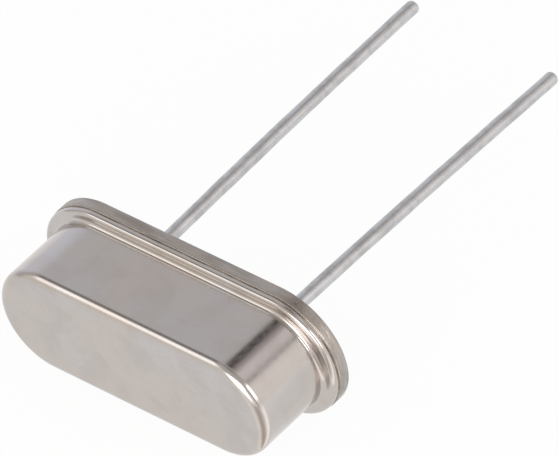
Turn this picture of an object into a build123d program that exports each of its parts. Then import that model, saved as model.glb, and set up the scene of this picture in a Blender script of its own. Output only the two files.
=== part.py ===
from build123d import *
import os

# Two-lead quartz crystal in a low, resistance-welded metal can, in millimetres.
#
# The pieces are built upright: can up (+Z), leads down (-Z), seating face at Z = 0,
# leads in line along X. The finished set is then laid on its long side, so that in
# the files X still runs along the row of leads, the leads point to +Y and the can's
# top faces -Y. The origin stays at the middle of the seating face.

# ---- cap ----
CAN_LENGTH = 9.9            # oblong wall, outside
CAN_WIDTH = 3.6
TOTAL_HEIGHT = 3.3          # seating face to the top of the can
CAN_SHEET = 0.25            # drawn sheet
CAN_TOP_RADIUS = 0.3        # outside
CAN_TOP_RADIUS_INSIDE = 0.12
FLANGE_REACH_ENDS = 0.43    # flange beyond the wall, at the round ends
FLANGE_REACH_SIDES = 0.33   # and at the long sides
FLANGE_THICKNESS = 0.25
FLANGE_EDGE = 0.07          # edge radius of the flange
FLANGE_LOWER_EDGE = 0.05    # leaves the welded seam as a groove
FLANGE_FILLET = 0.12        # wall to flange, outside
MOUTH_RADIUS = 0.1          # wall to flange, inside

# ---- base ----
BASE_RIM = 0.4              # thickness of the rim
RIM_PROUD = 0.02            # rim beyond the flange, all round
BASE_RIM_EDGE = 0.04        # edge radius of the rim
PLATEAU_HEIGHT = 0.4        # raised middle, above the rim
PLATEAU_CLEARANCE = 0.15    # all round, to the inside of the cap
PLATEAU_EDGE = 0.12
EYELET_RADIUS = 0.75        # holes for the glass seals
EYELET_CHAMFER = 0.05

# ---- leads ----
LEAD_SPACING = 4.88
LEAD_RADIUS = 0.215         # dipped leg
LEAD_LENGTH = 13.0          # below the seating face
LEAD_TIP_RADIUS = 0.11
DIP_THICKNESS = 0.01
DIP_FEATHER = 0.65          # length over which the dip thins out
BARE_BELOW = 0.1            # bare stretch below the seating face
SHANK_TAPER = 0.005         # how much the bare wire widens down to the dip
SHANK_ABOVE = 0.2           # shank above the plateau
HEAD_RADIUS = 0.38
HEAD_THICKNESS = 0.12
HEAD_EDGE = 0.03
MENISCUS_DEPTH = 0.06       # dish of the glass between lead and eyelet

# ---- quartz strip and its films ----
BLANK_THICKNESS = 0.2
BLANK_BEVEL = 0.03
BLANK_END_CLEARANCE = 0.65  # each end of the blank to the cap
FILM_THICKNESS = 0.02
FILM_END_MARGIN = 1.65      # each end of the film to the end of the blank
FILM_EDGE_MARGIN = 0.2      # film to the long edges of the blank
FILM_CORNER = 0.15
TAB_STEP = 0.165            # how much lower the tab is than the film, above and below

# ---- spring clips ----
CLIP_SHEET = 0.1
CLIP_FOOT_WIDTH = 0.7
CLIP_UPRIGHT_WIDTH = 1.15
CLIP_BEND = 0.1             # inside radius
CLIP_CORNER = 0.12
CLIP_SEAT_GAP = 0.15        # foot to the lower edge of the blank
CLIP_ABOVE_BLANK = 0.05
CLIP_CEILING_CLEARANCE = 0.18
CLIP_SLOT_CLEARANCE = 0.02  # each side, to the filmed blank
BLANK_OVERHANG = 0.1        # blank past the outside of the upright

# ---- conductive adhesive ----
DOT_MARGIN = 0.02           # dot to the edges of the tab

# ---- places that follow from the sizes ----
FLANGE_LENGTH = CAN_LENGTH + 2 * FLANGE_REACH_ENDS
FLANGE_WIDTH = CAN_WIDTH + 2 * FLANGE_REACH_SIDES
FLANGE_TOP = BASE_RIM + FLANGE_THICKNESS
BASE_LENGTH = FLANGE_LENGTH + 2 * RIM_PROUD
BASE_WIDTH = FLANGE_WIDTH + 2 * RIM_PROUD
INSIDE_LENGTH = CAN_LENGTH - 2 * CAN_SHEET
INSIDE_WIDTH = CAN_WIDTH - 2 * CAN_SHEET
INSIDE_TOP = TOTAL_HEIGHT - CAN_SHEET
PLATEAU_LENGTH = INSIDE_LENGTH - 2 * PLATEAU_CLEARANCE
PLATEAU_WIDTH = INSIDE_WIDTH - 2 * PLATEAU_CLEARANCE
PLATEAU_TOP = BASE_RIM + PLATEAU_HEIGHT
LEAD_X = LEAD_SPACING / 2
SHANK_RADIUS = LEAD_RADIUS - DIP_THICKNESS - SHANK_TAPER
HEAD_BOTTOM = PLATEAU_TOP + SHANK_ABOVE
HEAD_TOP = HEAD_BOTTOM + HEAD_THICKNESS
FOOT_TOP = HEAD_TOP + CLIP_SHEET
UPRIGHT_TOP = INSIDE_TOP - CLIP_CEILING_CLEARANCE
BLANK_BOTTOM = FOOT_TOP + CLIP_SEAT_GAP
BLANK_TOP = UPRIGHT_TOP - CLIP_ABOVE_BLANK
BLANK_MIDDLE = (BLANK_BOTTOM + BLANK_TOP) / 2
BLANK_LENGTH = INSIDE_LENGTH - 2 * BLANK_END_CLEARANCE
UPRIGHT_OUTSIDE = BLANK_LENGTH / 2 - BLANK_OVERHANG
UPRIGHT_INSIDE = UPRIGHT_OUTSIDE - CLIP_SHEET
SLOT_WIDTH = BLANK_THICKNESS + 2 * (FILM_THICKNESS + CLIP_SLOT_CLEARANCE)
FILM_LENGTH = BLANK_LENGTH - 2 * FILM_END_MARGIN
FILM_HEIGHT = BLANK_TOP - BLANK_BOTTOM - 2 * FILM_EDGE_MARGIN
TAB_HEIGHT = FILM_HEIGHT - 2 * TAB_STEP
DOT_RADIUS = TAB_HEIGHT / 2 - DOT_MARGIN

SIDES = {"left": -1, "right": 1}
FACES = {"front": 1, "rear": -1}
TAB_SIDE = {"front": "left", "rear": "right"}
NEAR = 1e-4


def oblong(length, width, bottom, top):
    """A prism with round ends, between two heights."""
    return extrude(Plane.XY.offset(bottom) * SlotOverall(length, width), top - bottom)


def block(x_range, y_range, z_range):
    """A box from its ranges along X, Y and Z, in either order."""
    ranges = (x_range, y_range, z_range)
    middle = [(start + end) / 2 for start, end in ranges]
    return Pos(*middle) * Box(*[abs(end - start) for start, end in ranges])


def at_height(edges, height):
    """Those of the edges that lie at one height."""
    return edges.filter_by_position(Axis.Z, height - NEAR, height + NEAR)


def oblong_edges(solid, length, width, height):
    """The edges of a solid that lie on one oblong outline at one height."""
    found = []
    for edge in at_height(solid.edges(), height):
        middle = edge.position_at(0.5)
        on_side = abs(abs(middle.Y) - width / 2) < NEAR
        on_end = abs(abs(middle.X) - length / 2) < NEAR
        if on_side or on_end:
            found.append(edge)
    return found


def corner_edges(solid, along, x, z):
    """The edges along one axis whose middles have the given X (if any) and Z."""
    return [
        edge
        for edge in solid.edges().filter_by(along)
        if abs(edge.position_at(0.5).Z - z) < NEAR
        and (x is None or abs(edge.position_at(0.5).X - x) < NEAR)
    ]


def turned(profile):
    """A closed half profile in the XZ plane, turned about the Z axis."""
    return revolve(make_face(profile), Axis.Z)


def shank_radius(height):
    """Radius of the bare wire at a height between the dip and the head."""
    below_head = (HEAD_BOTTOM - height) / (HEAD_BOTTOM + BARE_BELOW)
    return SHANK_RADIUS + SHANK_TAPER * below_head


def build_cap():
    """Drawn can with a flange round its mouth, open below."""
    cap = oblong(FLANGE_LENGTH, FLANGE_WIDTH, BASE_RIM, FLANGE_TOP)
    cap += oblong(CAN_LENGTH, CAN_WIDTH, BASE_RIM, TOTAL_HEIGHT)
    cap = fillet(oblong_edges(cap, CAN_LENGTH, CAN_WIDTH, FLANGE_TOP), FLANGE_FILLET)
    cap = fillet(oblong_edges(cap, CAN_LENGTH, CAN_WIDTH, TOTAL_HEIGHT), CAN_TOP_RADIUS)
    cap = fillet(oblong_edges(cap, FLANGE_LENGTH, FLANGE_WIDTH, FLANGE_TOP), FLANGE_EDGE)
    cap = fillet(oblong_edges(cap, FLANGE_LENGTH, FLANGE_WIDTH, BASE_RIM), FLANGE_LOWER_EDGE)
    inside = oblong(INSIDE_LENGTH, INSIDE_WIDTH, BASE_RIM, INSIDE_TOP)
    ceiling = oblong_edges(inside, INSIDE_LENGTH, INSIDE_WIDTH, INSIDE_TOP)
    cap -= fillet(ceiling, CAN_TOP_RADIUS_INSIDE)
    return fillet(oblong_edges(cap, INSIDE_LENGTH, INSIDE_WIDTH, BASE_RIM), MOUTH_RADIUS)


def build_base():
    """Stamped plate with a raised middle and two eyelets."""
    base = oblong(BASE_LENGTH, BASE_WIDTH, 0, BASE_RIM)
    base += oblong(PLATEAU_LENGTH, PLATEAU_WIDTH, 0, PLATEAU_TOP)
    for height in (0, BASE_RIM):
        base = fillet(oblong_edges(base, BASE_LENGTH, BASE_WIDTH, height), BASE_RIM_EDGE)
    base = fillet(oblong_edges(base, PLATEAU_LENGTH, PLATEAU_WIDTH, PLATEAU_TOP), PLATEAU_EDGE)
    for side in SIDES.values():
        base -= Pos(side * LEAD_X, 0, PLATEAU_TOP / 2) * Cylinder(EYELET_RADIUS, PLATEAU_TOP)
    circles = at_height(base.edges().filter_by(GeomType.CIRCLE), 0)
    mouths = [edge for edge in circles if abs(edge.radius - EYELET_RADIUS) < NEAR]
    return chamfer(mouths, EYELET_CHAMFER)


def build_glass_seal(side):
    """Bead of glass in an eyelet, both faces dished between lead and metal."""
    middle = (SHANK_RADIUS + EYELET_RADIUS) / 2
    outer_low = (EYELET_RADIUS, 0, EYELET_CHAMFER)
    outer_high = (EYELET_RADIUS, 0, PLATEAU_TOP)
    inner_high = (shank_radius(PLATEAU_TOP), 0, PLATEAU_TOP)
    inner_low = (shank_radius(0), 0, 0)
    profile = [
        ThreePointArc(inner_low, (middle, 0, MENISCUS_DEPTH), outer_low),
        Line(outer_low, outer_high),
        ThreePointArc(outer_high, (middle, 0, PLATEAU_TOP - MENISCUS_DEPTH), inner_high),
        Line(inner_high, inner_low),
    ]
    return Pos(side * LEAD_X, 0, 0) * turned(profile)


def build_lead(side):
    """Round wire: nail head inside, bare shank through the glass, dipped leg, soft tip."""
    tip = -LEAD_LENGTH
    leg_top = -BARE_BELOW - DIP_FEATHER
    outline = Polyline(
        (0, 0, tip),
        (LEAD_RADIUS, 0, tip),
        (LEAD_RADIUS, 0, leg_top),
        (shank_radius(-BARE_BELOW), 0, -BARE_BELOW),
        (shank_radius(HEAD_BOTTOM), 0, HEAD_BOTTOM),
        (HEAD_RADIUS, 0, HEAD_BOTTOM),
        (HEAD_RADIUS, 0, HEAD_TOP),
        (0, 0, HEAD_TOP),
        close=True,
    )
    lead = turned(outline)
    for height, radius in ((tip, LEAD_TIP_RADIUS), (HEAD_TOP, HEAD_EDGE)):
        lead = fillet(at_height(lead.edges().filter_by(GeomType.CIRCLE), height), radius)
    return Pos(side * LEAD_X, 0, 0) * lead


def build_clip(side):
    """Bent spring strip: foot on the lead's head, slotted upright that grips the blank."""
    foot_start = LEAD_X - HEAD_RADIUS
    profile = Polyline(
        (foot_start, 0, HEAD_TOP),
        (UPRIGHT_OUTSIDE, 0, HEAD_TOP),
        (UPRIGHT_OUTSIDE, 0, UPRIGHT_TOP),
        (UPRIGHT_INSIDE, 0, UPRIGHT_TOP),
        (UPRIGHT_INSIDE, 0, FOOT_TOP),
        (foot_start, 0, FOOT_TOP),
        close=True,
    )
    clip = extrude(make_face(profile), CLIP_UPRIGHT_WIDTH / 2, both=True)
    outer_bend = corner_edges(clip, Axis.Y, UPRIGHT_OUTSIDE, HEAD_TOP)
    clip = fillet(outer_bend, CLIP_BEND + CLIP_SHEET)
    inner_bend = corner_edges(clip, Axis.Y, UPRIGHT_INSIDE, FOOT_TOP)
    clip = fillet(inner_bend, CLIP_BEND)
    clip = fillet(corner_edges(clip, Axis.X, None, UPRIGHT_TOP), CLIP_CORNER)
    foot_end = UPRIGHT_INSIDE - CLIP_BEND
    for face in FACES.values():
        clip -= block(
            (foot_start, foot_end),
            (face * CLIP_FOOT_WIDTH / 2, face * CLIP_UPRIGHT_WIDTH),
            (HEAD_TOP, FOOT_TOP),
        )
    clip -= block(
        (UPRIGHT_INSIDE, UPRIGHT_OUTSIDE),
        (-SLOT_WIDTH / 2, SLOT_WIDTH / 2),
        (BLANK_BOTTOM, UPRIGHT_TOP),
    )
    return clip if side > 0 else mirror(clip, Plane.YZ)


def build_blank():
    """Quartz strip on edge along the can, its long edges bevelled."""
    blank = block(
        (-BLANK_LENGTH / 2, BLANK_LENGTH / 2),
        (-BLANK_THICKNESS / 2, BLANK_THICKNESS / 2),
        (BLANK_BOTTOM, BLANK_TOP),
    )
    return chamfer(blank.edges().filter_by(Axis.X), BLANK_BEVEL)


def build_electrode(face, tab_side):
    """Metal film on one face of the blank, with a tab out to one end."""
    near = face * BLANK_THICKNESS / 2
    far = near + face * FILM_THICKNESS
    pad = block(
        (-FILM_LENGTH / 2, FILM_LENGTH / 2),
        (near, far),
        (BLANK_MIDDLE - FILM_HEIGHT / 2, BLANK_MIDDLE + FILM_HEIGHT / 2),
    )
    pad = fillet(pad.edges().filter_by(Axis.Y), FILM_CORNER)
    tab = block(
        (0, tab_side * BLANK_LENGTH / 2),
        (near, far),
        (BLANK_MIDDLE - TAB_HEIGHT / 2, BLANK_MIDDLE + TAB_HEIGHT / 2),
    )
    return pad + tab


def build_adhesive(side, face, on_film):
    """Dot of conductive adhesive in the corner between the clip and the blank or its film."""
    surface = BLANK_THICKNESS / 2 + (FILM_THICKNESS if on_film else 0)
    dot = Pos(side * UPRIGHT_INSIDE, face * surface, BLANK_MIDDLE) * Sphere(DOT_RADIUS)
    corner = block(
        (side * UPRIGHT_INSIDE, side * (UPRIGHT_INSIDE - 2 * DOT_RADIUS)),
        (face * surface, face * (surface + 2 * DOT_RADIUS)),
        (BLANK_MIDDLE - 2 * DOT_RADIUS, BLANK_MIDDLE + 2 * DOT_RADIUS),
    )
    return dot & corner


def build_all():
    """Every piece of the crystal, upright, by its name."""
    pieces = {"cap": build_cap(), "base_plate": build_base(), "quartz_blank": build_blank()}
    for side_name, side in SIDES.items():
        pieces[f"glass_seal_{side_name}"] = build_glass_seal(side)
        pieces[f"lead_{side_name}"] = build_lead(side)
        pieces[f"spring_clip_{side_name}"] = build_clip(side)
        for face_name, face in FACES.items():
            on_film = TAB_SIDE[face_name] == side_name
            pieces[f"adhesive_{side_name}_{face_name}"] = build_adhesive(side, face, on_film)
    for face_name, face in FACES.items():
        pieces[f"electrode_{face_name}"] = build_electrode(face, SIDES[TAB_SIDE[face_name]])
    return pieces


os.makedirs("parts", exist_ok=True)
for name, upright in build_all().items():
    export_step(upright.rotate(Axis.X, 90), f"parts/{name}.step")
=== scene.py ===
"""Looks of a two-lead quartz crystal in a low welded can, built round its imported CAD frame.

X runs along the row of leads, Y out of the seating face with the leads, and Z up out of
one long side of the can, while the part lies on the other. Sizes are written in
millimetres and turned into metres by MM. "Height" means height above the seating face,
towards the can's top, so a height h lies at y = -h.
"""
import logging
import math
from dataclasses import dataclass
from enum import Enum

import bmesh
import bpy
import numpy as np
from mathutils import Matrix, Vector


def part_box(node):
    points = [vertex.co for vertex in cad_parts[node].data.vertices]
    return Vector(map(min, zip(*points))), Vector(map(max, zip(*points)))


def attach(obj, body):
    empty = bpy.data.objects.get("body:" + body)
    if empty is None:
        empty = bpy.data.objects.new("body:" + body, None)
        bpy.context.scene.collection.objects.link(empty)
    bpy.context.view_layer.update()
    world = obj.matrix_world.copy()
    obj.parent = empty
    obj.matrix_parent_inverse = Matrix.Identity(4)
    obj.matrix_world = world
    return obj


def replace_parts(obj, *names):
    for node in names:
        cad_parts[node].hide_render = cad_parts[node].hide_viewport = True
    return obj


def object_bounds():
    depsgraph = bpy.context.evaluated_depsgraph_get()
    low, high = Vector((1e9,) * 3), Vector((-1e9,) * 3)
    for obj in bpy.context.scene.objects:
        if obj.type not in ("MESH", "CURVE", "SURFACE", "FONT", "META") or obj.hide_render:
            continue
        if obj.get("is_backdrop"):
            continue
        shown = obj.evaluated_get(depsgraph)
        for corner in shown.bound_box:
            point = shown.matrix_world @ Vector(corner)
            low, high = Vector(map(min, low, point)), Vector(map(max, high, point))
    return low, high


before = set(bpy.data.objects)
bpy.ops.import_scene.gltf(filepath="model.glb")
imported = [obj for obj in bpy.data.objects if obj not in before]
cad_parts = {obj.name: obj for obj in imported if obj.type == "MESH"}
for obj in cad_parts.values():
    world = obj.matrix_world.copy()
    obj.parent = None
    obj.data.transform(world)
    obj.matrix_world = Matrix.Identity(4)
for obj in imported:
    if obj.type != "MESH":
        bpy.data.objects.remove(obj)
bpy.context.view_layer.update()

MM = 0.001
ROOT = "root"
TOUCH = 1e-5  # points nearer than this, in millimetres, are one
HAIR = 0.01  # a margin beside an edge, in millimetres
Colour = tuple[float, float, float]
Triple = tuple[float, float, float]
Pair = tuple[float, float]
Socket = bpy.types.NodeSocket
WHITE = (1.0, 1.0, 1.0)
log = logging.getLogger("crystal")


class Side(Enum):
    """The two ends of the row of leads, with the sign of X on each."""

    LEFT = -1
    RIGHT = 1


class Slot(Enum):
    """Material slots of the record."""

    NICKEL_SILVER = "nickel_silver"
    PLATED_STEEL = "plated_steel"
    SEAL_GLASS = "seal_glass"
    TINNED_WIRE = "tinned_wire"
    SPRING_METAL = "spring_metal"
    SILVER_ADHESIVE = "silver_adhesive"
    QUARTZ = "quartz"
    SILVER_FILM = "silver_film"


@dataclass(frozen=True)
class Layout:
    """Sizes that base, glass and leads share, in millimetres.

    Args:
        spacing: distance between the middles of the leads.
        eyelet: radius of the base's holes.
        chamfer: width and height of the holes' lower chamfer.
    """

    spacing: float = 4.88
    eyelet: float = 0.75
    chamfer: float = 0.05

    def lead_x(self, side: Side) -> float:
        """X of the middle of one lead."""
        return side.value * self.spacing / 2


LAYOUT = Layout()


# ---------------- surfaces


@dataclass(frozen=True)
class Sheet:
    """A grid of points that becomes quads of a mesh; its last column joins the first.

    Args:
        points: array of shape (rows, columns, 3), in millimetres.
        wrap_rows: whether the last row joins the first as well.
    """

    points: np.ndarray
    wrap_rows: bool = False

    def quads(self, first: int) -> np.ndarray:
        """Corner numbers of the quads between neighbouring rows and columns.

        Args:
            first: number of the sheet's first point in the mesh.

        Returns:
            Array of shape (quads, 4).
        """
        rows, columns = self.points.shape[:2]
        number = first + np.arange(rows * columns).reshape(rows, columns)
        if self.wrap_rows:
            number = np.vstack([number, number[:1]])
        number = np.hstack([number, number[:, :1]])
        corners = (number[:-1, :-1], number[1:, :-1], number[1:, 1:], number[:-1, 1:])
        return np.stack(corners, axis=-1).reshape(-1, 4)


def arc(centre: Pair, radius: float, start: float, end: float, steps: int) -> np.ndarray:
    """Points on a circular arc of a profile: centre + radius * (cos, sin) of even angles.

    Args:
        centre: (across, height) of the centre.
        radius: radius of the arc.
        start: first angle in degrees, 0 pointing outwards and 90 up.
        end: last angle in degrees.
        steps: number of spans.

    Returns:
        Array of shape (steps + 1, 2).
    """
    turn = np.radians(np.linspace(start, end, steps + 1))
    return np.column_stack([centre[0] + radius * np.cos(turn), centre[1] + radius * np.sin(turn)])


def run(start: Pair, end: Pair, steps: int) -> np.ndarray:
    """Evenly spaced points of a straight stretch, without its two ends."""
    share = np.linspace(0.0, 1.0, steps + 1)[1:-1, None]
    return np.array(start) * (1 - share) + np.array(end) * share


def put(name: str, data: bpy.types.ID) -> bpy.types.Object:
    """Puts a mesh, light or camera into the scene.

    Args:
        name: name of the object.
        data: what the object shows.

    Returns:
        The new object, at the origin.
    """
    made = bpy.data.objects.new(name, data)
    bpy.context.scene.collection.objects.link(made)
    return made


def piece(name: str, sheets: list[Sheet], finish: "Finish") -> bpy.types.Object:
    """Joins sheets into one closed smooth mesh that rides on the frame.

    Args:
        name: name of the piece.
        sheets: its surfaces; points that coincide along their borders are merged.
        finish: its finish.

    Returns:
        The finished object, at the origin.
    """
    firsts = np.cumsum([0] + [sheet.points.shape[0] * sheet.points.shape[1] for sheet in sheets])
    points = np.concatenate([sheet.points.reshape(-1, 3) for sheet in sheets]) * MM
    quads = np.concatenate([sheet.quads(first) for sheet, first in zip(sheets, firsts)])
    mesh = bpy.data.meshes.new(name)
    mesh.from_pydata(points.tolist(), [], quads.tolist())
    work = bmesh.new()
    work.from_mesh(mesh)
    bmesh.ops.remove_doubles(work, verts=work.verts, dist=TOUCH * MM)
    bmesh.ops.dissolve_degenerate(work, edges=work.edges, dist=TOUCH * MM)
    bmesh.ops.recalc_face_normals(work, faces=work.faces)
    work.to_mesh(mesh)
    work.free()
    mesh.polygons.foreach_set("use_smooth", np.ones(len(mesh.polygons), dtype=bool))
    mesh.materials.append(finish.material())
    mesh.update()
    made = put(name, mesh)
    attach(made, ROOT)
    log.info("%s: %d faces", name, len(mesh.polygons))
    return made


@dataclass(frozen=True)
class Oblong:
    """A way round an oblong: two half circles joined by straight sides.

    A point of the way is s * half_line + radius * (c, n), where s slides from one end of
    the middle line to the other along the sides and (c, n) is the outward direction.

    Args:
        turn_steps: spans of each half circle.
        side_steps: spans of each straight side, an even number.
    """

    turn_steps: int = 56
    side_steps: int = 44

    def way(self) -> tuple[np.ndarray, np.ndarray, np.ndarray]:
        """The arrays s, c and n, once round, starting at the middle of a side.

        Returns:
            s, c and n as arrays of equal length.
        """
        turn = np.linspace(-math.pi / 2, math.pi / 2, self.turn_steps + 1)
        half = np.linspace(0.0, 1.0, self.side_steps // 2 + 1)[:-1]
        flat = np.zeros(len(half))
        s = np.concatenate([half, np.ones(len(turn)), half[:0:-1]])
        c = np.concatenate([flat, np.cos(turn), flat[1:]])
        n = np.concatenate([flat - 1, np.sin(turn), flat[1:] + 1])
        c[len(half)] = c[len(half) + self.turn_steps] = 0.0
        s = np.concatenate([s, [0.0], -s[:0:-1]])
        c = np.concatenate([c, [0.0], -c[:0:-1]])
        n = np.concatenate([n, [1.0], n[:0:-1]])
        return s, c, n

    def carried(self, profile: np.ndarray, half_line: np.ndarray) -> np.ndarray:
        """A profile carried round the oblong.

        Each profile point (radius, height) gives one ring: x = s * half_line + radius * c,
        z = radius * n and y = -height. A ring of radius 0 falls onto the middle line.

        Args:
            profile: array of (radius, height) rows.
            half_line: half length of the middle line for each row.

        Returns:
            Array of shape (rows, way, 3).
        """
        s, c, n = self.way()
        radius, height = profile[:, :1], profile[:, 1:]
        x = s * half_line[:, None] + radius * c
        z = radius * n
        return np.stack([x, np.broadcast_to(-height, x.shape), z], axis=-1)


def turned(profile: np.ndarray, centre: float, steps: int = 96) -> np.ndarray:
    """A profile of (radius, height) rows turned about a line along Y through (centre, 0).

    Args:
        profile: array of (radius, height) rows.
        centre: X of the line.
        steps: number of columns round.

    Returns:
        Array of shape (rows, steps, 3) with x = centre + r cos, y = -height, z = r sin.
    """
    turn = np.linspace(0, 2 * math.pi, steps, endpoint=False)
    x = centre + profile[:, :1] * np.cos(turn)
    z = profile[:, :1] * np.sin(turn)
    return np.stack([x, np.broadcast_to(-profile[:, 1:], x.shape), z], axis=-1)


@dataclass(frozen=True)
class Ripple:
    """Soft unevenness: plane sine waves in fixed random directions, added up.

    Args:
        wavelength: middle wavelength, in millimetres.
        seed: seed of the directions, phases and wavelengths.
        waves: number of waves.
        lengths: shortest and longest wave as shares of the middle one.
    """

    wavelength: float
    seed: int
    waves: int = 7
    lengths: Pair = (0.6, 1.6)

    def at(self, points: np.ndarray) -> np.ndarray:
        """The sum of sin(direction . point * pace + phase), over the root of the waves' number.

        Args:
            points: array of shape (..., 3), in millimetres.

        Returns:
            Array of shape (...), mostly between -1 and 1.
        """
        chance = np.random.default_rng(self.seed)
        direction = chance.normal(size=(self.waves, 3))
        direction /= np.linalg.norm(direction, axis=1, keepdims=True)
        pace = 2 * math.pi / (self.wavelength * chance.uniform(*self.lengths, self.waves))
        phase = chance.uniform(0, 2 * math.pi, self.waves)
        return np.sin((points @ direction.T) * pace + phase).sum(axis=-1) / math.sqrt(self.waves)

    def rise(self, points: np.ndarray, swing: float = 0.3) -> np.ndarray:
        """The ripple about 0.5, times a swing, so that it hardly falls below 0."""
        return 0.5 + swing * self.at(points)


# ---------------- finishes


class Tree:
    """A node tree, with short calls for the nodes that the finishes and the studio share."""

    FIRST, SECOND, MIXED = 6, 7, 2  # a colour mix's sockets, whose names are not unique

    def __init__(self, tree: bpy.types.NodeTree) -> None:
        """Takes the tree of a material or of the world."""
        self.nodes = tree.nodes
        self.links = tree.links

    def feed(self, node: bpy.types.Node, feeds: dict[str | int, object]) -> None:
        """Joins a node's sockets to others, or sets them to plain values.

        Args:
            node: the node to feed.
            feeds: another node's socket, or a number, colour or direction, for each name
                or number of a socket.
        """
        for key, value in feeds.items():
            if isinstance(value, Socket):
                self.links.new(value, node.inputs[key])
            else:
                node.inputs[key].default_value = value

    def node(self, kind: str, feeds: dict[str | int, object], **settings: str) -> bpy.types.Node:
        """Makes a node and feeds it.

        Args:
            kind: its kind, without the common start of all kinds.
            feeds: what its sockets get.
            settings: its settings by name.

        Returns:
            The new node.
        """
        made = self.nodes.new(f"ShaderNode{kind}")
        for name, value in settings.items():
            setattr(made, name, value)
        self.feed(made, feeds)
        return made

    def spread(self, value: Socket, low: float, high: float,
               to_low: float = 0.0, to_high: float = 1.0) -> Socket:
        """Maps the range low to high onto to_low to to_high, held at its ends, by a soft step."""
        feeds = {"Value": value, "From Min": low, "From Max": high, "To Min": to_low, "To Max": to_high}
        return self.node("MapRange", feeds, interpolation_type="SMOOTHSTEP").outputs["Result"]

    def reckon(self, operation: str, *values: object) -> Socket:
        """The result of an operation on numbers, each plain or a socket."""
        return self.node("Math", dict(enumerate(values)), operation=operation).outputs["Value"]

    def aim(self, operation: str, result: str, *values: object) -> Socket:
        """The named result of an operation on directions, each plain or a socket."""
        node = self.node("VectorMath", dict(enumerate(values)), operation=operation)
        return node.outputs[result]

    def mix(self, share: Socket, first: object, second: object) -> Socket:
        """A colour between two, each a socket or a colour.

        Args:
            share: how much of the second there is, 0 to 1.
            first: colour or socket at share 0.
            second: colour or socket at share 1.

        Returns:
            The mixed colour.
        """
        feeds = {"Factor": share}
        for number, colour in ((self.FIRST, first), (self.SECOND, second)):
            plain = not isinstance(colour, Socket)
            feeds[number] = (*colour, 1.0) if plain else colour
        return self.node("Mix", feeds, data_type="RGBA").outputs[self.MIXED]


class Paint(Tree):
    """The tree of a new material with one Principled shader."""

    def __init__(self, name: str) -> None:
        """Makes the material.

        Args:
            name: name of the material.
        """
        self.material = bpy.data.materials.new(name)
        self.material.use_nodes = True
        super().__init__(self.material.node_tree)
        self.shader = self.nodes["Principled BSDF"]
        self.place = self.node("TexCoord", {}).outputs["Object"]

    def set(self, **values: object) -> None:
        """Feeds sockets of the shader; an underscore in a name stands for a space."""
        self.feed(self.shader, {name.replace("_", " "): value for name, value in values.items()})

    def noise(self, per_mm: float, detail: float = 3.0, stretch: Triple = (1, 1, 1),
              twist: float = 0.0) -> Socket:
        """A noise pattern in the object's own coordinates, which are turned into millimetres.

        Args:
            per_mm: how many features there are in a millimetre.
            detail: number of finer layers.
            stretch: multiplier of each axis.
            twist: distortion of the pattern.

        Returns:
            The pattern's value, about 0.3 to 0.7.
        """
        scale = tuple(value / MM for value in stretch)
        place = self.node("Mapping", {"Scale": scale, "Vector": self.place}).outputs["Vector"]
        feeds = {"Scale": per_mm, "Detail": detail, "Distortion": twist, "Vector": place}
        return self.node("TexNoise", feeds).outputs["Fac"]

    def bump(self, heights: list[tuple[Socket, float]]) -> None:
        """Adds bumps one on another.

        Args:
            heights: a height pattern and its depth in millimetres for each bump.
        """
        below = {}
        for height, depth in heights:
            feeds = {"Strength": 1.0, "Distance": depth * MM, "Height": height, **below}
            below = {"Normal": self.node("Bump", feeds).outputs["Normal"]}
        self.feed(self.shader, below)


@dataclass(frozen=True)
class Finish:
    """A finish: its name and slot. Each kind says how its nodes are made.

    In every kind a "step" holds the values of a pattern between which its effect sets in, a
    "share" says how strong the effect is at most, roughness goes from the smoothest to the
    roughest spot, and depths are in millimetres.
    """

    name: str
    slot: Slot

    def material(self) -> bpy.types.Material:
        """The finish's material, made once and then shared."""
        made = bpy.data.materials.get(self.name)
        return made if made is not None else self.build()

    def build(self) -> bpy.types.Material:
        """Makes the nodes."""
        raise NotImplementedError


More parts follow.
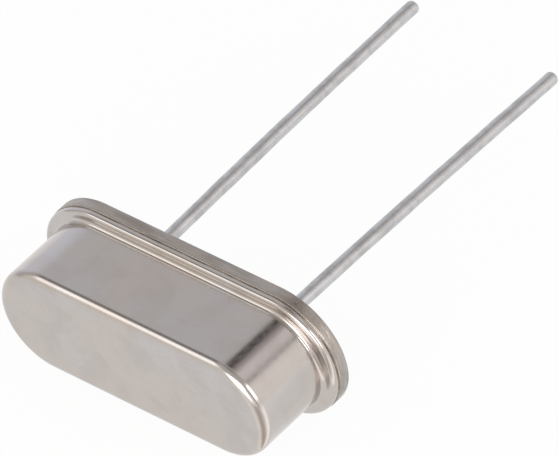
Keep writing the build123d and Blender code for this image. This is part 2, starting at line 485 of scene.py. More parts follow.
@dataclass(frozen=True)
class Metal(Finish):
    """Metal with broad patches, fine grain and faint scratches.

    Args:
        colour: the metal's own colour.
        stain: colour of its duller patches.
        tinge: a second tone of the clean metal, in very broad patches.
        patch: patches in a millimetre.
        patch_draw: stretch of the patches along each axis.
        patch_dulls: how much a patch adds to the grain's value.
        grain: grains in a millimetre.
        draw: stretch of the grain along each axis; a small number draws it out.
        scratches: scratches in a millimetre.
        scratch: stretch of the scratches along each axis.
        scratch_colour: colour at the bottom of a scratch.
    """

    colour: Colour = (0.6, 0.57, 0.53)
    stain: Colour = (0.5, 0.46, 0.41)
    stain_share: float = 0.6
    stain_step: Pair = (0.42, 0.68)
    tinge: Colour = (0.58, 0.57, 0.55)
    tinge_share: float = 0.7
    tinge_step: Pair = (0.4, 0.62)
    roughness: Pair = (0.24, 0.32)
    rough_step: Pair = (0.35, 0.75)
    patch: float = 0.9
    patch_draw: Triple = (1.0, 1.0, 1.0)
    patch_dulls: float = 0.35
    grain: float = 18.0
    grain_depth: float = 0.001
    draw: Triple = (1.0, 1.0, 1.0)
    scratches: float = 9.0
    scratch: Triple = (1.0, 1.0, 1.0)
    scratch_step: Pair = (0.56, 0.66)
    scratch_depth: float = 0.0005
    scratch_colour: Colour = (0.35, 0.32, 0.28)
    scratch_share: float = 0.2

    def build(self) -> bpy.types.Material:
        """Patches tint the colour and dull it, grain and scratches roughen and dent it.

        Returns:
            The new material.
        """
        tree = Paint(self.name)
        patches = tree.noise(self.patch, detail=4.0, stretch=self.patch_draw, twist=0.4)
        patches = tree.spread(patches, *self.stain_step, 0.0, self.stain_share)
        grain = tree.noise(self.grain, detail=4.0, stretch=self.draw)
        lines = tree.noise(self.scratches, detail=2.0, stretch=self.scratch, twist=0.2)
        lines = tree.spread(lines, *self.scratch_step)
        faint = tree.spread(lines, 0.0, 1.0, 0.0, self.scratch_share)
        broad = tree.noise(self.patch / 2, detail=1.0)
        broad = tree.spread(broad, *self.tinge_step, 0.0, self.tinge_share)
        tinted = tree.mix(patches, tree.mix(broad, self.colour, self.tinge), self.stain)
        uneven = tree.reckon("MULTIPLY_ADD", patches, self.patch_dulls, grain)
        tree.set(
            Metallic=1.0,
            Base_Color=tree.mix(faint, tinted, self.scratch_colour),
            Roughness=tree.spread(uneven, *self.rough_step, *self.roughness),
        )
        tree.bump([(grain, self.grain_depth), (lines, -self.scratch_depth)])
        return tree.material


@dataclass(frozen=True)
class Glass(Finish):
    """Dark seal glass with a few cloudy swirls under a smooth face.

    Args:
        colour: colour of the clear glass.
        cloud: colour of the swirls.
        swirls: swirls in a millimetre.
        waves: waves of the face in a millimetre.
    """

    colour: Colour = (0.018, 0.032, 0.031)
    cloud: Colour = (0.038, 0.06, 0.056)
    cloud_step: Pair = (0.4, 0.7)
    roughness: Pair = (0.06, 0.16)
    rough_step: Pair = (0.35, 0.65)
    swirls: float = 2.6
    waves: float = 6.0
    wave_depth: float = 0.002

    def build(self) -> bpy.types.Material:
        """Swirls lighten the colour and vary the gloss.

        Returns:
            The new material.
        """
        tree = Paint(self.name)
        swirl = tree.noise(self.swirls, detail=4.0, twist=1.2)
        tree.set(
            IOR=1.52, Coat_Weight=0.3, Coat_Roughness=0.04,
            Base_Color=tree.mix(tree.spread(swirl, *self.cloud_step), self.colour, self.cloud),
            Roughness=tree.spread(swirl, *self.rough_step, *self.roughness),
        )
        tree.bump([(tree.noise(self.waves, detail=2.0), self.wave_depth)])
        return tree.material


@dataclass(frozen=True)
class Crystal(Finish):
    """Lapped quartz: clear, with a fine matte face.

    Args:
        colour: colour of the clear body.
        veil: colour of its veils.
        veils: veils in a millimetre.
        grain: grains in a millimetre.
    """

    colour: Colour = (0.88, 0.9, 0.9)
    veil: Colour = (0.78, 0.81, 0.82)
    veils: float = 1.5
    roughness: Pair = (0.3, 0.45)
    rough_step: Pair = (0.35, 0.65)
    grain: float = 40.0
    grain_depth: float = 0.0006

    def build(self) -> bpy.types.Material:
        """A fine lapping grain varies a frosted clear body.

        Returns:
            The new material.
        """
        tree = Paint(self.name)
        grain = tree.noise(self.grain)
        tree.set(
            IOR=1.54, Transmission_Weight=0.7,
            Base_Color=tree.mix(tree.noise(self.veils), self.colour, self.veil),
            Roughness=tree.spread(grain, *self.rough_step, *self.roughness),
        )
        tree.bump([(grain, self.grain_depth)])
        return tree.material


@dataclass(frozen=True)
class Finishes:
    """All the finishes of the part."""

    can: Metal = Metal(
        "drawn_nickel_silver", Slot.NICKEL_SILVER,
        colour=(0.54, 0.497, 0.468), stain=(0.49, 0.444, 0.41), tinge=(0.53, 0.51, 0.508),
        roughness=(0.15, 0.21), grain=14.0, grain_depth=0.00012, draw=(1.0, 0.35, 1.0),
        scratch=(0.5, 2.2, 0.7), scratch_depth=0.00008, scratch_share=0.06,
    )
    base: Metal = Metal(
        "welded_plated_steel", Slot.PLATED_STEEL,
        colour=(0.45, 0.412, 0.382), stain=(0.27, 0.238, 0.215), stain_share=0.55,
        tinge=(0.4, 0.36, 0.33), roughness=(0.24, 0.4),
        patch=2.0, patch_draw=(0.45, 2.4, 0.6), grain=12.0, grain_depth=0.0016,
        scratch=(0.12, 1.6, 0.25), scratch_depth=0.003, scratch_share=0.6,
    )
    weld: Metal = Metal(
        "pressed_out_weld", Slot.PLATED_STEEL,
        colour=(0.40, 0.345, 0.29), stain=(0.16, 0.13, 0.105), stain_share=0.9,
        tinge=(0.34, 0.29, 0.25), roughness=(0.24, 0.38),
        patch=1.6, grain=12.0, grain_depth=0.0006,
    )
    wire: Metal = Metal(
        "hot_tinned_wire", Slot.TINNED_WIRE,
        colour=(0.588, 0.59, 0.6), stain=(0.465, 0.465, 0.47), stain_share=0.8,
        tinge=(0.565, 0.568, 0.578), roughness=(0.32, 0.42),
        patch=2.4, grain=9.0, grain_depth=0.001, draw=(1.0, 0.3, 1.0),
        scratch=(1.6, 0.25, 1.6), scratch_depth=0.0004, scratch_share=0.15,
    )
    spring: Metal = Metal(
        "rolled_spring_strip", Slot.SPRING_METAL,
        colour=(0.62, 0.58, 0.52), stain=(0.5, 0.45, 0.38), roughness=(0.22, 0.34),
        draw=(1.0, 0.2, 1.0), grain_depth=0.0008,
    )
    film: Metal = Metal(
        "evaporated_silver", Slot.SILVER_FILM,
        colour=(0.84, 0.83, 0.80), stain=(0.74, 0.72, 0.68), tinge=(0.8, 0.8, 0.79),
        roughness=(0.2, 0.3), grain=35.0, grain_depth=0.0005,
    )
    adhesive: Metal = Metal(
        "silver_filled_adhesive", Slot.SILVER_ADHESIVE,
        colour=(0.55, 0.54, 0.52), stain=(0.4, 0.39, 0.37), tinge=(0.5, 0.49, 0.48),
        roughness=(0.5, 0.68), patch=3.0, grain=22.0, grain_depth=0.006,
    )
    glass: Glass = Glass("dark_seal_glass", Slot.SEAL_GLASS)
    quartz: Crystal = Crystal("lapped_quartz", Slot.QUARTZ)


FINISHES = Finishes()


# ---------------- metal can


@dataclass(frozen=True)
class Cap:
    """The drawn can: wall, top, and the flange round its mouth.

    The flange's outline and the heights come from the frame. A guard is a ring close to
    an edge, which keeps the stretch beside the edge straight.

    Args:
        sheet: thickness of wall and top.
        top_radius: outside radius of the top's edge.
        inside_radius: inside radius of the top's edge.
        flange_edge: radius of the flange's upper edge.
        lower_edge: radius of the flange's lower edge.
        fillet: radius between wall and flange.
        mouth: inside radius at the mouth.
        mouth_flat: width of the flat beside that radius.
        top_crown: how far the top's edge lies below its middle.
        dents: how far the skin is pressed in.
        dent: the ripple of these dents.
        top_guards: distances of two guards from the top's edge.
        wall_guard: distance of a guard from each end of the wall.
        oblong: the way round.
    """

    length: float = 9.9
    width: float = 3.6
    sheet: float = 0.25
    top_radius: float = 0.3
    inside_radius: float = 0.12
    flange_thickness: float = 0.25
    flange_edge: float = 0.12
    lower_edge: float = 0.09
    fillet: float = 0.12
    mouth: float = 0.1
    mouth_flat: float = 0.1
    top_crown: float = 0.006
    dents: float = 0.002
    dent: Ripple = Ripple(3.2, 4)
    top_guards: Pair = (0.04, 0.015)
    wall_guard: float = 0.02
    oblong: Oblong = Oblong()

    def outside(self, rim: float, top: float, flange: float) -> np.ndarray:
        """Half section of the outside, from the middle of the top to the flange's edge.

        Straight stretches and arcs of the edge radii.

        Args:
            rim: height of the flange's lower face.
            top: height of the can's top.
            flange: half width of the flange.

        Returns:
            Array of (radius, height) rows.
        """
        wall, flange_top = self.width / 2, rim + self.flange_thickness
        shoulder, roll = wall - self.top_radius, top - self.top_radius
        guards = [(shoulder - distance, top) for distance in self.top_guards]
        wall_top = (wall, roll - self.wall_guard)
        wall_foot = (wall, flange_top + self.fillet + self.wall_guard)
        edge = flange - self.flange_edge
        return np.concatenate([
            [(0.0, top)], run((0.0, top), guards[0], steps=12), guards,
            arc((shoulder, roll), self.top_radius, 90, 0, steps=14),
            [wall_top], run(wall_top, wall_foot, steps=16), [wall_foot],
            arc((wall + self.fillet, flange_top + self.fillet), self.fillet, 180, 270, steps=10),
            [(wall + self.fillet + HAIR, flange_top), (edge - HAIR, flange_top)],
            arc((edge, flange_top - self.flange_edge), self.flange_edge, 90, 0, steps=8),
        ])

    def inside(self, rim: float, top: float, flange: float) -> np.ndarray:
        """Half section of the underside and inside, from the flange's edge to the middle.

        Args:
            rim: height of the flange's lower face.
            top: height of the can's top.
            flange: half width of the flange.

        Returns:
            Array of (radius, height) rows.
        """
        wall, ceiling = self.width / 2 - self.sheet, top - self.sheet
        bend = (wall - self.inside_radius, ceiling - self.inside_radius)
        return np.concatenate([
            arc((flange - self.lower_edge, rim + self.lower_edge), self.lower_edge, 0, -90, steps=6),
            [(wall + self.mouth + self.mouth_flat, rim)],
            arc((wall + self.mouth, rim + self.mouth), self.mouth, 270, 180, steps=5),
            run((wall, rim + self.mouth), (wall, bend[1]), steps=5),
            arc(bend, self.inside_radius, 0, 90, steps=5),
            run((bend[0], ceiling), (0.0, ceiling), steps=4), [(0.0, ceiling)],
        ])

    def build(self) -> bpy.types.Object:
        """Carries the profile round the oblong and presses the skin slightly uneven.

        The middle line grows from the wall's to the flange's across the flange. The top
        face sinks towards its edge with the square of the radius, and the outside skin is
        pressed in by a soft ripple, so that its reflections waver.

        Returns:
            The can.
        """
        low, high = (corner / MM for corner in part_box("cap"))
        rim, top, flange = -high.y, -low.y, high.z
        profile = np.concatenate([self.outside(rim, top, flange), self.inside(rim, top, flange)])
        radius, height = profile.T
        wall = self.width / 2
        wall_line = (self.length - self.width) / 2
        share = np.clip((radius - wall) / (flange - wall), 0, 1)
        points = self.oblong.carried(profile, wall_line + (high.x - flange - wall_line) * share)
        skin = np.arange(len(profile)) < np.argmax(radius)
        on_top = skin * np.clip((height - top + self.top_radius) / self.top_radius, 0, 1)
        on_wall = skin * (1 - on_top) * (radius < wall + HAIR)
        pressed = self.dents * self.dent.rise(points)
        sunk = self.top_crown * np.clip((radius / wall) ** 2, 0, 1)
        points[..., 1] += on_top[:, None] * (sunk[:, None] + pressed)
        points[..., 2] *= 1 - pressed * on_wall[:, None] / wall
        return piece("can", [Sheet(points)], FINISHES.can)


@dataclass(frozen=True)
class BasePlate:
    """The stamped plate with its raised middle and two eyelets.

    Args:
        edge: radius of the rim's edges.
        clearance: gap between the raised middle and the can's wall.
        plateau_edge: radius of the raised middle's edge.
        rim_depth: how far in from the rim its roughness reaches.
        rim_dents: how far the rim is pressed in.
        rim_dent: the ripple of these dents.
        hem: number of points on the line that cuts a face in half, its ends included.
        rings: number of rings of a face, from a hole to its outline.
        cap: the can that the plate closes.
        oblong: the way round.
    """

    edge: float = 0.04
    clearance: float = 0.15
    plateau_edge: float = 0.12
    rim_depth: float = 0.06
    rim_dents: float = 0.008
    rim_dent: Ripple = Ripple(0.9, 11)
    hem: int = 18
    rings: int = 9
    cap: Cap = Cap()
    oblong: Oblong = Oblong()

    def face(self, radius: float, half_line: float, hole: float, height: float) -> list[Sheet]:
        """A flat oblong face with two round holes.

        Each half is ruled: points of the half outline, rim and middle cut together, are
        joined by straight lines to the hole's circle in the same direction from its centre.

        Args:
            radius: radius of the outline's round ends.
            half_line: half length of its middle line.
            hole: radius of the holes.
            height: height of the face.

        Returns:
            One sheet for each half.
        """
        s, c, n = self.oblong.way()
        rim = np.column_stack([s * half_line + radius * c, radius * n])
        cut = np.linspace(radius, -radius, self.hem)[1:-1]
        outline = np.vstack([rim[:len(s) // 2 + 1], np.column_stack([np.zeros(len(cut)), cut])])
        centre = np.array([LAYOUT.lead_x(Side.RIGHT), 0.0])
        away = outline - centre
        circle = centre + hole * away / np.linalg.norm(away, axis=1, keepdims=True)
        share = np.linspace(0, 1, self.rings)[:, None, None]
        x, z = np.moveaxis(circle * (1 - share) + outline * share, -1, 0)
        y = np.full(x.shape, -height)
        halves = [np.stack([x * side.value, y, z], axis=-1) for side in Side]
        return [Sheet(points) for points in halves]

    def eyelet_wall(self, lower: np.ndarray, upper: np.ndarray) -> Sheet:
        """The wall between the holes of two faces, kept in their columns.

        The chamfer narrows the lower ring to the hole's radius, and one more ring lies
        halfway from there to the upper face.

        Args:
            lower: the lower face's innermost ring.
            upper: the upper face's innermost ring.

        Returns:
            The wall.
        """
        side = Side.RIGHT if lower[:, 0].mean() > 0 else Side.LEFT
        centre = np.array([LAYOUT.lead_x(side), 0.0, 0.0])
        away = (lower - centre) * np.array([1, 0, 1])
        away /= np.linalg.norm(away, axis=1, keepdims=True)
        top = -upper[0, 1]
        heights = (LAYOUT.chamfer, (LAYOUT.chamfer + top) / 2)
        rings = [centre + away * LAYOUT.eyelet + np.array([0, -height, 0]) for height in heights]
        return Sheet(np.stack([lower, *rings, upper]))

    def build(self) -> bpy.types.Object:
        """Joins the two holed faces, the eyelet walls and the skirt of rim and raised middle.

        Returns:
            The base plate.
        """
        low, high = (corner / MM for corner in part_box("base_plate"))
        rim, top, radius = -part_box("cap")[1].y / MM, -low.y, high.z
        half_line = high.x - radius
        inner, shelf = radius - self.edge, rim - self.edge
        plateau = self.cap.width / 2 - self.cap.sheet - self.clearance
        plateau_line = (self.cap.length - self.cap.width) / 2
        bend = (plateau - self.plateau_edge, top - self.plateau_edge)
        profile = np.concatenate([
            arc((inner, self.edge), self.edge, -90, 0, steps=5),
            run((radius, self.edge), (radius, shelf), steps=5),
            arc((inner, shelf), self.edge, 0, 90, steps=5),
            run((inner, rim), (plateau, rim), steps=6), [(plateau, rim)],
            run((plateau, rim), (plateau, bend[1]), steps=3),
            arc(bend, self.plateau_edge, 0, 90, steps=5),
        ])
        across, height = profile.T
        share = np.clip((across - plateau) / (inner - plateau), 0, 1)
        skirt = self.oblong.carried(profile, plateau_line + (half_line - plateau_line) * share)
        on_rim = (height > HAIR) & (height < rim - HAIR) & (across > radius - self.rim_depth)
        pressed = self.rim_dents * self.rim_dent.rise(skirt)
        skirt[..., 2] *= 1 - pressed * on_rim[:, None] / radius
        under = self.face(inner, half_line, LAYOUT.eyelet + LAYOUT.chamfer, 0.0)
        over = self.face(bend[0], plateau_line, LAYOUT.eyelet, top)
        walls = [self.eyelet_wall(lower.points[0], upper.points[0]) for lower, upper in zip(under, over)]
        sheets = [Sheet(skirt), *under, *over, *walls]
        return piece("base_plate", sheets, FINISHES.base)


@dataclass(frozen=True)
class WeldSeam:
    """The uneven bead that the weld presses out between the flange and the base.

    Args:
        bead: radius of the bead where it is thickest.
        inset: how far the bead's middle lies inside the rim.
        swell: how much of the radius the ripple takes away.
        lump: the ripple of the radius.
        swing: how far the ripple swings.
        sides: number of points round the bead.
        oblong: the way round, finer than the can's.
    """

    bead: float = 0.036
    inset: float = 0.075
    swell: float = 0.35
    lump: Ripple = Ripple(1.1, 31, waves=9)
    swing: float = 0.35
    sides: int = 12
    oblong: Oblong = Oblong(turn_steps=120, side_steps=150)

    def build(self) -> bpy.types.Object:
        """Carries a small circle round the seam; its radius swells and thins by a ripple.

        Returns:
            The bead.
        """
        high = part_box("base_plate")[1] / MM
        rim = -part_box("cap")[1].y / MM
        middle = np.array([[high.z - self.inset, rim]])
        spine = self.oblong.carried(middle, np.array([high.x - high.z]))
        bead = self.bead * (1 - self.swell * self.lump.rise(spine[0], self.swing))
        turn = np.linspace(0, 2 * math.pi, self.sides, endpoint=False)[:, None]
        across, along = bead * np.cos(turn), bead * np.sin(turn)
        _, c, n = self.oblong.way()
        points = spine + np.stack([across * c, along, across * n], axis=-1)
        return piece("weld_seam", [Sheet(points, wrap_rows=True)], FINISHES.weld)


@dataclass(frozen=True)
class GlassSeal:
    """A bead of glass in an eyelet, both faces dished between lead and metal.

    Args:
        side: which eyelet it fills.
        lead_radius: radius of its bore, just inside the lead's skin.
        dish: depth of each face's hollow.
        steps: number of points across a face.
    """

    side: Side
    lead_radius: float = 0.2
    dish: float = 0.06
    steps: int = 17

    def build(self) -> bpy.types.Object:
        """Turns the closed section about the lead's line.

        Each face is a parabola, deepest halfway from the lead to the metal.

        Returns:
            The bead.
        """
        low, _ = (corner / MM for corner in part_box(f"glass_seal_{self.side.name.lower()}"))
        top = -low.y
        share = np.linspace(0, 1, self.steps)
        across = self.lead_radius + (LAYOUT.eyelet - self.lead_radius) * share
        bowl = 4 * self.dish * share * (1 - share)
        under = np.column_stack([across, LAYOUT.chamfer * share + bowl])
        over = np.column_stack([across[::-1], top - bowl[::-1]])
        section = np.concatenate([
            under, run(tuple(under[-1]), (LAYOUT.eyelet, top), steps=4),
            over, run((self.lead_radius, top), tuple(under[0]), steps=4),
        ])
        bead = Sheet(turned(section, LAYOUT.lead_x(self.side)), wrap_rows=True)
        return piece(f"glass_bead_{self.side.name.lower()}", [bead], FINISHES.glass)


@dataclass(frozen=True)
class Lead:
    """Round tinned wire with a nail head inside the can and a softly rounded tip.

    Args:
        side: which lead it is.
        lean_x: how far the tip has leaned along X.
        lean_z: how far the tip has leaned along Z.
        bow: how far the middle bows along Z from the straight line to the tip.
        radius: radius of the tinned leg.
        bare_radius: radius where the tin fades out.
        shank_radius: radius in the glass.
        neck_radius: radius right under the head.
        neck: length over which the neck widens to the shank.
        tip_radius: radius of the tip's edge.
        drop: how far the tin stands past the wire's end in the frame.
        bare: length without tin.
        feather: length over which the tin sets in.
        lumps: how far the tin swells and thins.
        lump_wave: wavelength of the tin's ripple.
        lump_seed: seed of that ripple, to which the side's sign is added.
        lump_draw: stretch of that ripple along each axis.
    """

    side: Side
    lean_x: float
    lean_z: float
    bow: float
    radius: float = 0.215
    bare_radius: float = 0.205
    shank_radius: float = 0.202
    neck_radius: float = 0.2
    neck: float = 0.05
    tip_radius: float = 0.13
    drop: float = 0.1
    bare: float = 0.1
    feather: float = 0.65
    head_radius: float = 0.38
    head_thickness: float = 0.12
    head_edge: float = 0.03
    lumps: float = 0.005
    lump_wave: float = 0.9
    lump_seed: int = 20
    lump_draw: Triple = (1.0, 0.5, 1.0)
    shank_rings: int = 6
    dip_rings: int = 10
    leg_rings: int = 150
    sides: int = 40

    def profile(self, root: float, tip: float) -> np.ndarray:
        """Rows of (radius, y): head, bare shank, feathered dip, leg and tip.

        The tin's skin rises over the feather with the sine of a quarter turn.

        Args:
            root: y of the head's end, inside the can.
            tip: y of the tip.

        Returns:
            Array of (radius, y) rows.
        """
        under_head = root + self.head_thickness
        shank = np.linspace(under_head + self.neck, 0.0, self.shank_rings)
        fade = np.linspace(0, 1, self.dip_rings)
        dip = self.bare_radius + (self.radius - self.bare_radius) * np.sin(fade * math.pi / 2)
        leg = np.linspace(self.bare + self.feather, tip - self.tip_radius, self.leg_rings)[1:]
        head_edge = (self.head_radius - self.head_edge, root + self.head_edge)
        tip_edge = (self.radius - self.tip_radius, tip - self.tip_radius)
        return np.concatenate([
            [(0.0, root), (self.head_radius / 2, root)],
            arc(head_edge, self.head_edge, -90, 0, steps=4),
            [(self.head_radius, under_head - HAIR), (self.head_radius - HAIR, under_head)],
            [(self.neck_radius, under_head)],
            np.column_stack([np.full(len(shank), self.shank_radius), shank]),
            np.column_stack([dip, self.bare + fade * self.feather]),
            np.column_stack([np.full(len(leg), self.radius), leg]),
            arc(tip_edge, self.tip_radius, 0, 90, steps=8)[1:], [(0.0, tip)],
        ])

    def build(self) -> bpy.types.Object:
        """Carries a circle of the profile's radius along the lead's bent centre line.

        With u the share of the way to the frame's tip, at most 1, the line is
        x = x0 + lean_x * u and z = lean_z * u + 4 * bow * u * (1 - u); the tinned skin
        swells and thins by a soft ripple.

        Returns:
            The lead.
        """
        low, high = (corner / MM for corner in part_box(f"lead_{self.side.name.lower()}"))
        profile = self.profile(low.y, high.y + self.drop)
        radius, y = profile[:, :1], profile[:, 1:]
        turn = np.linspace(0, 2 * math.pi, self.sides, endpoint=False)
        x, z = radius * np.cos(turn), radius * np.sin(turn)
        points = np.stack([x, np.broadcast_to(y, x.shape), z], axis=-1)
        tinned = np.clip((y - self.bare) / self.feather, 0, 1)
        lump = Ripple(self.lump_wave, self.lump_seed + self.side.value)
        swell = 1 + lump.at(points * np.array(self.lump_draw)) * self.lumps * tinned / self.radius
        share = np.clip(y / high.y, 0, 1)
        points[..., 0] = x * swell + LAYOUT.lead_x(self.side) + self.lean_x * share
        points[..., 2] = z * swell + self.lean_z * share + 4 * self.bow * share * (1 - share)
        name = f"wire_lead_{self.side.name.lower()}"
        return piece(name, [Sheet(points)], FINISHES.wire)


# ---------------- studio


@dataclass(frozen=True)
class Card:
    """A soft-edged patch of the surroundings that the metal reflects, or on the floor a painted
    highlight or painted shade that only reflections see.

    Args:
        towards: direction to its middle.
        inner: angle from the middle, in degrees, within which it is full.
        outer: angle at which it has faded out.
        colour: its colour and level together.
    """

    towards: Triple
    inner: float
    outer: float
    colour: Colour


@dataclass(frozen=True)
class Lamp:
    """A square softbox aimed at the part.

    Args:
        name: name of the lamp.
        towards: direction from the part to the lamp.
        distance: millimetres from the part.
        size: side of the square in millimetres.
        power: watts.
        colour: colour of its light.
    """

    name: str
    towards: Triple
    distance: float
    size: float
    power: float
    colour: Colour


@dataclass(frozen=True)
class Studio:
    """Floor, surroundings, lamps and camera.

    Args:
        azimuth: turn of the camera from the front, in degrees.
        elevation: rise of the camera, in degrees.
        roll: turn of the camera about its own axis, in degrees.
        aim: point that the camera looks at.
        clip: nearest and farthest distance that the camera sees.
        floor_reach: half the floor's side.
        floor_colour: colour of the floor.
        floor_glow: how much of the white glow covers that colour to the eye.
        corner: point near the can's right corner, from which the painted floor reflections are aimed.
        painted_floor_reflections: painted highlights and painted shade on the floor, which only
            reflections see.
        room: colour of the surroundings where no card is.
    """

    azimuth: float = 44.78
    elevation: float = 42.59
    roll: float = 8.58
    distance: float = 260.7
    aim: Triple = (-0.368, 3.886, -0.463)
    sensor: float = 36.0
    lens: float = 580.645
    clip: Pair = (1.0, 4000.0)
    floor_reach: float = 400.0
    floor_colour: Colour = (0.86, 0.86, 0.86)
    floor_glow: float = 0.95
    corner: Pair = (4.6, -3.1)
    # painted reflections: two bright patches of painted highlight and one dark patch of painted shade on
    # the floor, seen only by glossy rays
    painted_floor_reflections: tuple[Card, ...] = (
        Card((0.98, 0.2, 0.0), 8, 22, (1.6, 1.53, 1.48)),
        Card((0.0, -1.0, 0.0), 4, 20, (1.22, 1.17, 1.11)),
        Card((0.72, -0.69, 0.0), 4, 26, (0.68, 0.6, 0.53)),
    )
    room: Colour = (0.64, 0.625, 0.61)
    cards: tuple[Card, ...] = (
        Card((-0.60, 0.50, 0.60), 16, 32, (0.71, 0.705, 0.715)),
        Card((-0.85, 0.5, 0.1), 14, 38, (0.86, 0.88, 0.96)),
        Card((0.9, 0.42, 0.1), 20, 44, (1.1, 1.045, 1.0)),
        Card((0.08, 0.08, 0.99), 6, 20, (0.4, 0.37, 0.34)),
        Card((0.32, 0.52, 0.79), 8, 16, (0.92, 0.86, 0.865)),
        Card((0.58, 0.52, 0.62), 1.5, 5, (0.5, 0.46, 0.44)),
        Card((0.08, 0.52, 0.85), 3, 13, (0.42, 0.37, 0.37)),
        Card((-0.03, 0.522, 0.852), 4, 9, (0.085, 0.075, 0.075)),
        Card((0.66, -0.75, 0.05), 12, 26, (1.35, 1.25, 1.16)),
        Card((-0.52, -0.78, 0.35), 24, 40, (0.97, 0.92, 0.84)),
        Card((-0.5, 0.0, 0.87), 6, 18, (0.3, 0.28, 0.26)),
        Card((-0.52, -0.52, 0.68), 9, 18, (1.85, 1.82, 1.78)),
    )
    lamps: tuple[Lamp, ...] = (
        Lamp("key_softbox", (0.33, -0.86, 0.4), 130, 90, 0.07, (1.0, 0.97, 0.93)),
        Lamp("side_softbox", (0.95, 0.05, 0.55), 160, 80, 0.05, (0.98, 0.99, 1.0)),
    )

    def back(self) -> Vector:
        """Direction from the aim to the camera.

        Returns:
            A vector of length 1.
        """
        turn, rise = math.radians(self.azimuth), math.radians(self.elevation)
        level = math.cos(rise)
        return Vector((math.sin(turn) * level, -math.cos(turn) * level, math.sin(rise)))

    def camera(self) -> None:
        """A long lens at the viewing angle, with the roll about its own axis."""
        data = bpy.data.cameras.new("camera")
        data.sensor_width, data.lens = self.sensor, self.lens
        data.clip_start, data.clip_end = (distance * MM for distance in self.clip)
        made = put("camera", data)
        back = self.back()
        right = Vector((0, 0, 1)).cross(back).normalized()
        level = Matrix((right, back.cross(right), back)).transposed()
        place = (Vector(self.aim) + back * self.distance) * MM
        turn = Matrix.Rotation(-math.radians(self.roll), 3, "Z")
        made.matrix_world = Matrix.Translation(place) @ (level @ turn).to_4x4()
        bpy.context.scene.camera = made

    def floor(self) -> None:
        """A wide pale floor under the part, white to the eye.

        Reflections see painted highlights and painted shade on it, laid on as cards by the direction
        from the can's right corner; the eye sees it plain white.
        """
        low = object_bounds()[0].z
        reach = self.floor_reach * MM
        corners = [(x * reach, y * reach, low) for x, y in ((-1, -1), (1, -1), (1, 1), (-1, 1))]
        mesh = bpy.data.meshes.new("floor")
        mesh.from_pydata(corners, [], [(0, 1, 2, 3)])
        tree = Paint("pale_floor")
        tree.set(Roughness=0.9, Specular_IOR_Level=0.1, Base_Color=(*self.floor_colour, 1.0))
        corner = (self.corner[0] * MM, self.corner[1] * MM, low)
        away = tree.aim("SUBTRACT", "Vector", tree.place, corner)
        towards = tree.aim("NORMALIZE", "Vector", away)
        # painted highlights and painted shade on the floor, which only glossy rays get
        shaded = self.carded(tree, towards, WHITE, self.painted_floor_reflections)
        glossy = tree.node("LightPath", {}).outputs["Is Glossy Ray"]
        glow = tree.node("Emission", {"Color": tree.mix(glossy, WHITE, shaded)}).outputs["Emission"]
        layers = (self.seen(tree), tree.shader.outputs["BSDF"], glow)
        blend = tree.node("MixShader", dict(enumerate(layers))).outputs["Shader"]
        tree.feed(tree.nodes["Material Output"], {"Surface": blend})
        mesh.materials.append(tree.material)
        made = put("floor", mesh)
        made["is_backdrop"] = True

    def seen(self, tree: Tree) -> Socket:
        """The share of the floor's glow: full for sight and reflections, 0 for its own light.

        Args:
            tree: the floor's tree.

        Returns:
            The share for camera, glossy and transmission rays, and 0 for the others.
        """
        path = tree.node("LightPath", {}).outputs
        total = path["Is Camera Ray"]
        for name in ("Is Glossy Ray", "Is Transmission Ray"):
            total = tree.reckon("MAXIMUM", total, path[name])
        return tree.reckon("MULTIPLY", total, self.floor_glow)

    @staticmethod
    def carded(tree: Tree, ray: Socket, ground: Colour,
               cards: tuple[Card, ...]) -> Socket:
        """A ground colour with cards laid over it one after another.

        Each card covers what is behind it by a smooth step of the cosine of the angle
        between its direction and the ray's.

        Args:
            tree: tree that gets the nodes.
            ray: unit direction of sight.
            ground: colour where no card is.
            cards: cards, the last in front.

        Returns:
            The colour seen in that direction.
        """
        colour: object = ground
        for card in cards:
            towards = Vector(card.towards).normalized()
            cosine = tree.aim("DOT_PRODUCT", "Value", ray, towards)
            faded, full = (math.cos(math.radians(angle)) for angle in (card.outer, card.inner))
            colour = tree.mix(tree.spread(cosine, faded, full), colour, card.colour)
        return colour

    def surroundings(self) -> None:
        """A grey room with soft cards, and plain white where the camera looks past the floor."""
        world = bpy.data.worlds.new("surroundings")
        bpy.context.scene.world = world
        world.use_nodes = True
        tree = Tree(world.node_tree)
        ray = tree.node("TexCoord", {}).outputs["Generated"]
        shaded = self.carded(tree, ray, self.room, self.cards)
        eye = tree.node("LightPath", {}).outputs["Is Camera Ray"]
        tree.feed(tree.nodes["Background"], {"Color": tree.mix(eye, shaded, WHITE)})

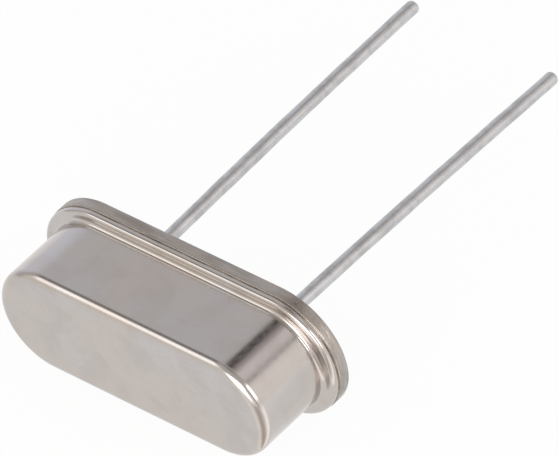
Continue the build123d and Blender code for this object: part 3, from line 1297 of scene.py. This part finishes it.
    def lights(self) -> None:
        """Softboxes, each turned to face the part."""
        for lamp in self.lamps:
            data = bpy.data.lights.new(lamp.name, "AREA")
            data.size = lamp.size * MM
            data.energy = lamp.power
            data.color = lamp.colour
            towards = Vector(lamp.towards).normalized()
            turn = towards.to_track_quat("Z", "Y").to_matrix().to_4x4()
            place = Matrix.Translation(towards * lamp.distance * MM)
            put(lamp.name, data).matrix_world = place @ turn

    def build(self) -> None:
        """Everything round the part, and the plain view transform."""
        self.floor()
        self.surroundings()
        self.lights()
        self.camera()
        bpy.context.scene.view_settings.view_transform = "Standard"


# ---------------- assembly


@dataclass(frozen=True)
class Inside:
    """CAD pieces inside the can, which keep their shape and get their finish.

    Args:
        finishes: the start of a node's name and its finish.
    """

    finishes: tuple[tuple[str, Finish], ...] = (
        ("spring_clip", FINISHES.spring),
        ("adhesive", FINISHES.adhesive),
        ("electrode", FINISHES.film),
        ("quartz_blank", FINISHES.quartz),
    )

    def build(self) -> None:
        """Puts a finish on every clip, dot, film and the blank."""
        for name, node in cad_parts.items():
            for start, finish in self.finishes:
                if name.startswith(start):
                    self.dress(node, finish)

    @staticmethod
    def dress(node: bpy.types.Object, finish: Finish) -> None:
        """Gives a CAD node one finish in all its slots.

        Args:
            node: the node's object.
            finish: its finish.
        """
        if not node.material_slots:
            node.data.materials.append(None)
        for slot in node.material_slots:
            slot.material = finish.material()
        log.info("%s dressed in %s", node.name, finish.name)


def main() -> None:
    """Builds every piece in order, then the studio."""
    logging.basicConfig(level=logging.INFO, format="%(name)s: %(message)s")
    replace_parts(Cap().build(), "cap")
    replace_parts(BasePlate().build(), "base_plate")
    WeldSeam().build()
    for side in Side:
        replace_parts(GlassSeal(side).build(), f"glass_seal_{side.name.lower()}")
    leads = (
        Lead(Side.LEFT, lean_x=-0.088, lean_z=0.175, bow=0.071),
        Lead(Side.RIGHT, lean_x=0.204, lean_z=-0.180, bow=0.050),
    )
    for lead in leads:
        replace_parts(lead.build(), f"lead_{lead.side.name.lower()}")
    Inside().build()
    Studio().build()


if __name__ == "__main__":
    main()
